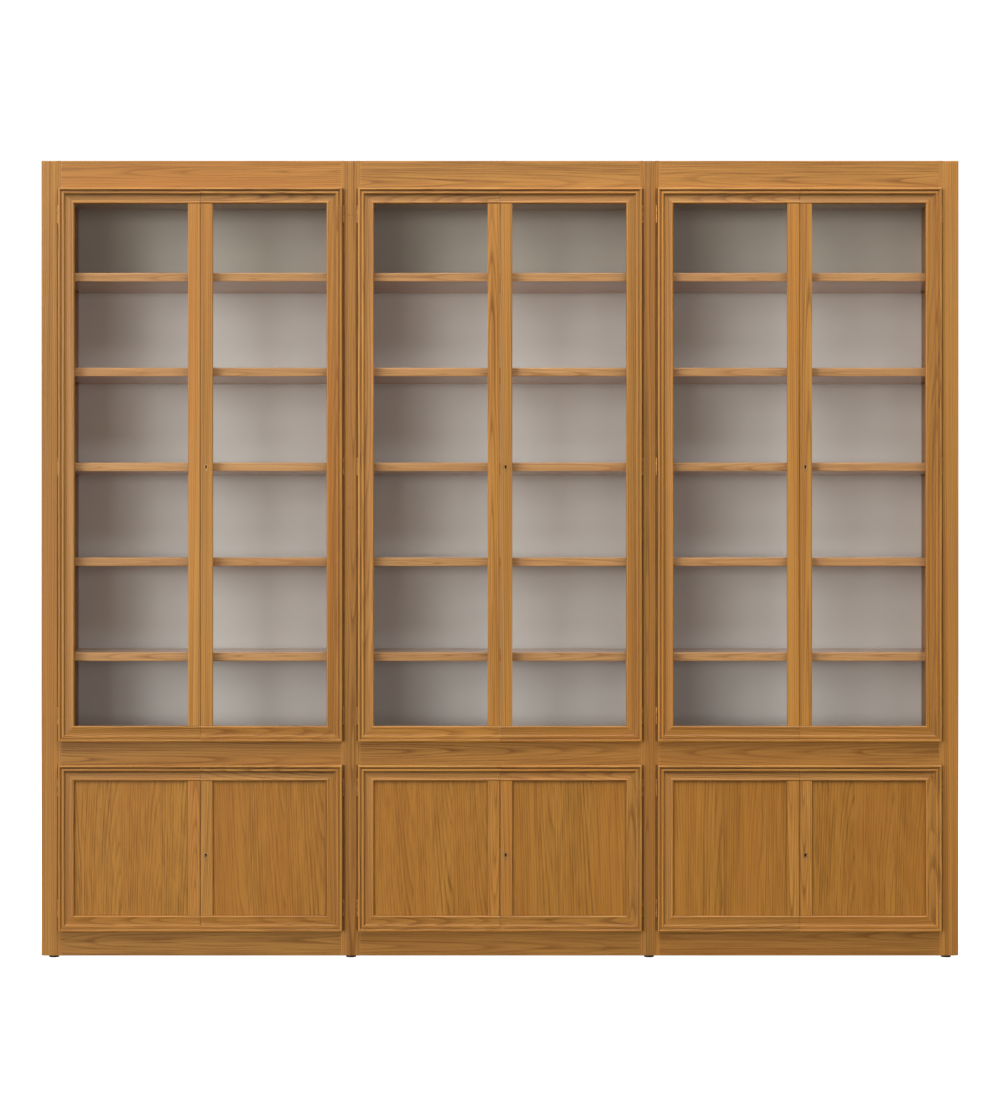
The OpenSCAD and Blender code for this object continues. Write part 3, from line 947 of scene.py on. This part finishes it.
# %% Panes
glass = Finish("clear_glass")
facing = glass.node("ShaderNodeLayerWeight", {}, {"Blend": 0.5}, output="Facing")
spot = glass.node("ShaderNodeTexCoord", output="Object")
waves = glass.noise(spot, (3, 3, 2), 1.0)
wavy = glass.node("ShaderNodeBump", {}, {"Height": waves, "Distance": 0.4 * MM, "Strength": 0.25})
smears = glass.noise(spot, (5, 5, 14), 3.0, 0.6)
through = glass.node("ShaderNodeBsdfTransparent", {}, {"Color": (0.995, 1, 0.995, 1)})
sheen = {"Color": (1, 1, 1, 1), "Roughness": 0.02 + smears * 0.03, "Normal": wavy}
mirrored = glass.node("ShaderNodeBsdfGlossy", {}, sheen)
share = 0.04 + 0.96 * facing**5
seen = glass.node("ShaderNodeMixShader", {}, {0: share, 1: through, 2: mirrored})
sheet = glass.tree.nodes["Material Output"].inputs
glass.tree.links.new(seen.socket, sheet["Surface"])
for number in range(1, 7):
    refinish(f"glass_door_{number}_pane", glass.material)
print("nodes in the glass", len(glass.tree.nodes))

# %% [markdown]
# ## Paint, brass, steel and plastic
# The back is boarded and painted a warm grey with a roller, which leaves a fine orange-peel
# skin, slightly uneven in gloss. The brass is old: it has gone brown in the hollows and stays
# bright where it is touched. All of them read Object coordinates, as paint follows no grain.
# The paint of the top compartments is a little browner and darker: painted shade, warmed by the wood
# round it.

# %% Finishes without grain


def plain_finish(name, first, second, roughness, lumps, grain, depth, shaded_above=None, **constants):
    """Two near colours in slow patches, with a fine texture that also breaks the gloss. shaded_above
    is the height above which it is tinted with painted shade, and the tint."""
    f = Finish(name, **constants)
    spot = f.node("ShaderNodeTexCoord", output="Object")
    patch = f.noise(spot, (lumps,) * 3, 3.0)
    fine = f.noise(spot, (grain,) * 3, 2.0)
    colour = f.blend(((patch - 0.3) * 2.2).held(), first, second)
    if shaded_above:
        height = f.node("ShaderNodeSeparateXYZ", {}, {0: spot}, output=2)
        colour = f.blend(((height - shaded_above[0]) * 20).held() * (patch * 0.3 + 0.85), colour, shaded_above[1])
    f.feed("Base Color", colour)
    f.feed("Roughness", (roughness + (patch - 0.5) * 0.2 + (fine - 0.5) * 0.12).held(0.05, 1))
    f.raise_surface(fine, depth, 0.5)
    return f.material


TOP_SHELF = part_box("shelves")[1][2]
# Painted shade: above the top shelf the grey is mixed towards a darker, browner grey.
top_shade = (TOP_SHELF - 30 * MM, rgb(207, 200, 189))
greys = (rgb(232, 230, 226), rgb(226, 224, 220))
paint = plain_finish("grey_paint", *greys, 0.55, 3, 420, 0.08 * MM, top_shade)
yellows = (rgb(224, 174, 114), rgb(160, 116, 66))
brass = plain_finish("aged_brass", *yellows, 0.42, 60, 900, 0.03 * MM, metallic=0.8)
silvers = (rgb(170, 166, 158), rgb(132, 128, 120))
steel = plain_finish("dull_steel", *silvers, 0.4, 80, 1500, 0.02 * MM, metallic=1.0)
blacks = (rgb(26, 25, 24), rgb(34, 33, 31))
black = plain_finish("black_plastic", *blacks, 0.55, 90, 1800, 0.03 * MM)
print("the paint browns above", round(top_shade[0], 3))

# %% [markdown]
# The back is painted all over. The top boards are bare wood above, where nobody looks, and
# painted like the back below. Paint has a thickness: the coat takes over the lowest part of the
# board as a thin sheet of its own.

# %% Painted back, and top boards with a painted underside
COAT = 0.5 * MM
parts = [board(lo, hi, UP, "flat", 40, 0.4 * MM) for lo, hi in solids("back_panels")]
piece("back_panels_painted", parts, paint, "case", ["back_panels"])
bare, coats = [], []
for k, (lo, hi) in enumerate(solids("top_boards")):
    bare.append(board(lo + [0, 0, COAT], hi, ACROSS, "flat", 300 + k, 0.6 * MM))
    coats.append(board(lo, [hi[0], hi[1], lo[2] + COAT], ACROSS, "flat", 310, 0.1 * MM))
piece("top_boards_wood", bare, honey, "case", ["top_boards"])
piece("top_board_paint", coats, paint, "case")
print("painted boards", len(parts + coats))

# %% [markdown]
# Hinges, pegs, locks and feet are bought in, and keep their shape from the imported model. They
# only need a finish: brass where it shows, steel inside a lock, black plastic under the case.

# %% Finishes for the fittings
for node in ("shelf_supports", "case_hinge_leaves", "hinge_pins"):
    refinish(node, brass)
refinish("magnet_catches", steel)
refinish("glides", black)
for kind, number, door in DOORS:
    refinish(door + "_fittings", brass)
    if not hangs_left(number):
        refinish(door + "_bolt", steel)
print("doors with finished fittings", len(DOORS))

# %% [markdown]
# ## Screws
# The butt hinges are held by slotted countersunk screws, two to a leaf. A slotted head is two
# half discs with a gap between them, so each half is the outline of a half disc, lifted in four
# steps that shrink towards the top. No two slots point the same way, because a screw stops
# turning when it is tight.

# %% Screw heads
SCREW_R = 2.6 * MM
SLOT_HALF = 0.35 * MM


def screw_head(spot, facing, seed):
    """Two domed half discs about a spot, facing along a level direction. Each outline is an arc
    closed by the straight side of the slot."""
    facing = np.array(facing, float)
    slot_turn = np.random.default_rng(seed).uniform(0, math.pi)
    beside = np.cross([0, 0, 1.0], facing)
    first = beside * math.cos(slot_turn) + np.array([0, 0, math.sin(slot_turn)])
    second = np.cross(facing, first)
    lifts = np.array([-0.3, 0.05, 0.22, 0.3]) * MM
    radii = np.array([1, 1, 0.85, 0.45]) * SCREW_R
    halves = []
    for side in (1, -1):
        low = np.arcsin(SLOT_HALF / radii)[:, None]
        turn = low + (math.pi - 2 * low) * np.linspace(0, 1, 9)
        u, v = radii[:, None] * np.cos(turn), side * radii[:, None] * np.sin(turn)
        grid = spot + u[..., None] * first + v[..., None] * second + lifts[:, None, None] * facing
        points, faces = loft(grid)
        halves.append({"points": points, "faces": faces})
    return halves


print("radius of a screw head", SCREW_R)

# %% [markdown]
# The screws of a case leaf show on the side of the upright, and those of a door leaf on the
# back of the door.

# %% Screws in every leaf
SCREW_UP = (-15 * MM, 15 * MM)
SCREW_FROM_BACK = 9 * MM
SCREW_FROM_EDGE = 12 * MM
BAY = 0.9
case_screws = []
for k, (lo, hi) in enumerate(solids("case_hinge_leaves")):
    middle = (lo + hi) / 2
    bay = round(middle[0] / BAY) * BAY
    facing = 1 if middle[0] < bay else -1
    x = hi[0] if facing == 1 else lo[0]
    for up in SCREW_UP:
        spot = np.array([x, hi[1] - SCREW_FROM_BACK, middle[2] + up])
        case_screws += screw_head(spot, (facing, 0, 0), 60 + k)
piece("case_hinge_screws", case_screws, brass, "case")
HINGE_Z = sorted({round(float(lo[2] + hi[2]) / 2, 4) for lo, hi in solids("case_hinge_leaves")})
for kind, number, door in DOORS:
    lo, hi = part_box(door + "_frame")
    x = lo[0] + SCREW_FROM_EDGE if hangs_left(number) else hi[0] - SCREW_FROM_EDGE
    heads = []
    for z in [level for level in HINGE_Z if lo[2] < level < hi[2]]:
        for up in SCREW_UP:
            seed = int(number * 100 + z * 50 + up * 2000)
            heads += screw_head(np.array([x, hi[1], z + up]), (0, 1, 0), seed)
    piece(door + "_screws", heads, brass, door)
print("screws on the case", len(case_screws) // 2, "hinge heights", HINGE_Z)

# %% [markdown]
# ## Filled holes
# One upright was once drilled for something else. The four holes were filled with wood putty a
# little darker than the board, and sanded nearly flush.

# %% Fillings in the left inner upright
FILLED = [(-0.454, 2.237), (-0.454, 1.3565), (-0.4435, 2.237), (-0.4435, 1.3565)]
FILLING_R = np.array([3.3, 3.3, 2.6]) * MM
FILLING_OUT = np.array([-1.0, 0.02, 0.08]) * MM


def filling(x, z, face):
    """A low button of putty round x, z: one ring inside the board, one at its face, and a
    smaller one just proud of it."""
    turn = np.linspace(0, 2 * math.pi, 14, endpoint=False)
    ring = np.stack([np.cos(turn), np.sin(turn)], axis=1)
    rings = [upright_rows(ring * r, x, z, [face - out]) for r, out in zip(FILLING_R, FILLING_OUT)]
    skin = loft(np.concatenate(rings))
    dull = np.full(len(skin[0]), -0.55)
    return as_board(skin, skin[0].min(axis=0), skin[0].max(axis=0), UP, "flat", 77, dull)


upright_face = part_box("inner_uprights")[0][1]
fillings = [filling(x, z, upright_face) for x, z in FILLED]
piece("filled_holes", fillings, honey, "case")
print("fillings", len(fillings))

# %% [markdown]
# Through a keyhole one sees the lock plate. A thin plate of the shape of the keyhole closes the
# bore just before the lock case; it is near black, as painted shade that makes the hole read dark.

# %% The dark behind the keyholes
KEYWAY_DEEP = np.array([6, 7]) * MM
KEYWAY_PLAY = 0.15 * MM
# Painted shade: a near-black, dull metal plate that makes each keyhole read dark.
keyhole_darks = (rgb(16, 14, 13), rgb(24, 21, 19))
keyhole_shade = plain_finish("keyhole_shade_plate", *keyhole_darks, 0.7, 120, 1500, 0.02 * MM, metallic=0.6)
outline = keyhole_outline(-KEYWAY_PLAY)
for kind, number, door in DOORS:
    if hangs_left(number):
        continue
    lo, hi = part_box(door + "_frame")
    depths = hi[1] - MEETING_T + KEYWAY_DEEP
    points, faces = loft(upright_rows(outline, lo[0] + KEY_IN, KEY_Z[kind], depths))
    plate = {"points": points, "faces": faces}
    piece(door + "_keyway", [plate], keyhole_shade, door)
print("points on a keyway plate", len(points))

# %% [markdown]
# ## The studio
# The bookcase stands in a white room with no corners. The floor glows, so that it is as white as
# the surround, but bounced and mirrored light don't see it, or it would light the shelves from
# below.

# %% Floor
FLOOR_HALF = 14
FLOOR_DROP = 0.5 * MM
side = np.linspace(-FLOOR_HALF, FLOOR_HALF, 5)
across, deep = np.meshgrid(side, side)
grid = np.stack([across, deep, np.full_like(across, -FLOOR_DROP)], axis=-1).reshape(-1, 3)
cell = np.arange(4)[:, None] * 5 + np.arange(4)[None, :]
quads = np.stack([cell, cell + 1, cell + 6, cell + 5], axis=-1).reshape(-1, 4)
floor = plain_object("floor", (grid, quads.tolist()))
whites = (rgb(250, 250, 250), rgb(248, 248, 248))
floor_paint = plain_finish("studio_floor", *whites, 0.7, 1, 60, 0.02 * MM)
glow = floor_paint.node_tree.nodes["Principled BSDF"].inputs
glow["Emission Color"].default_value = (1, 1, 1, 1)
glow["Emission Strength"].default_value = 1.0
floor.data.materials.append(floor_paint)
floor.visible_diffuse = False
floor.visible_glossy = False
print("squares in the floor", len(quads))

# %% [markdown]
# The large soft light high on the left brightens every edge that faces up or left, and gives
# each shelf a shadow. A lower one beside it and a weak one near the camera fill the shadows, and
# a panel hangs over the bookcase. The two fills are kept out of reflections.

# %% Lights


def soft_light(name, spot, target, size, power):
    """A rectangle of light at the spot, turned to face the target."""
    data = bpy.data.lights.new(name, "AREA")
    data.shape = "RECTANGLE"
    data.size, data.size_y = size
    data.energy = power
    lamp = bpy.data.objects.new(name, data)
    lamp.location = spot
    way = np.subtract(target, spot)
    tilt = math.pi - math.acos(way[2] / np.linalg.norm(way))
    lamp.rotation_euler = (tilt, 0, math.atan2(way[1], way[0]) + 1.5 * math.pi)
    scene.collection.objects.link(lamp)
    return lamp


# name, place, target, width and height, watts, shown in reflections
LIGHTS = [
    ("front_softbox", (-11.6, -15.7, 3.7), (0.1, 0, 1.25), (12.0, 6.4), 1320, True),
    ("left_fill", (-6.0, -15.7, 1.4), (0.1, 0, 1.25), (7.0, 2.6), 600, False),
    ("camera_fill", (4.5, -13.0, 1.4), (0.3, 0, 1.25), (6.0, 2.6), 230, False),
    ("ceiling_panel", (0.9, -2.9, 6.4), (0.9, -2.9, 0), (13, 6.5), 860, True),
]
for name, place, target, size, power, shows in LIGHTS:
    soft_light(name, place, target, size, power).visible_glossy = shows
print("lights", len(LIGHTS))

# %% [markdown]
# The camera sees the surround as white, and everything else gets only a tenth of that from it,
# so that the lights shape the wood. The Standard view keeps the colours as they are mixed.

# %% Surround
world = bpy.data.worlds.new("studio")
world.use_nodes = True
scene.world = world
nodes, links = world.node_tree.nodes, world.node_tree.links
gives = nodes["Background"]
seen = nodes.new("ShaderNodeBackground")
for surround, strength in ((gives, 0.1), (seen, 1.05)):
    surround.inputs["Color"].default_value = (1, 1, 1, 1)
    surround.inputs["Strength"].default_value = strength
rays = nodes.new("ShaderNodeLightPath")
choose = nodes.new("ShaderNodeMixShader")
links.new(rays.outputs["Is Camera Ray"], choose.inputs[0])
links.new(gives.outputs[0], choose.inputs[1])
links.new(seen.outputs[0], choose.inputs[2])
links.new(choose.outputs[0], nodes["World Output"].inputs["Surface"])
scene.view_settings.view_transform = "Standard"
print("nodes in the surround", len(nodes))
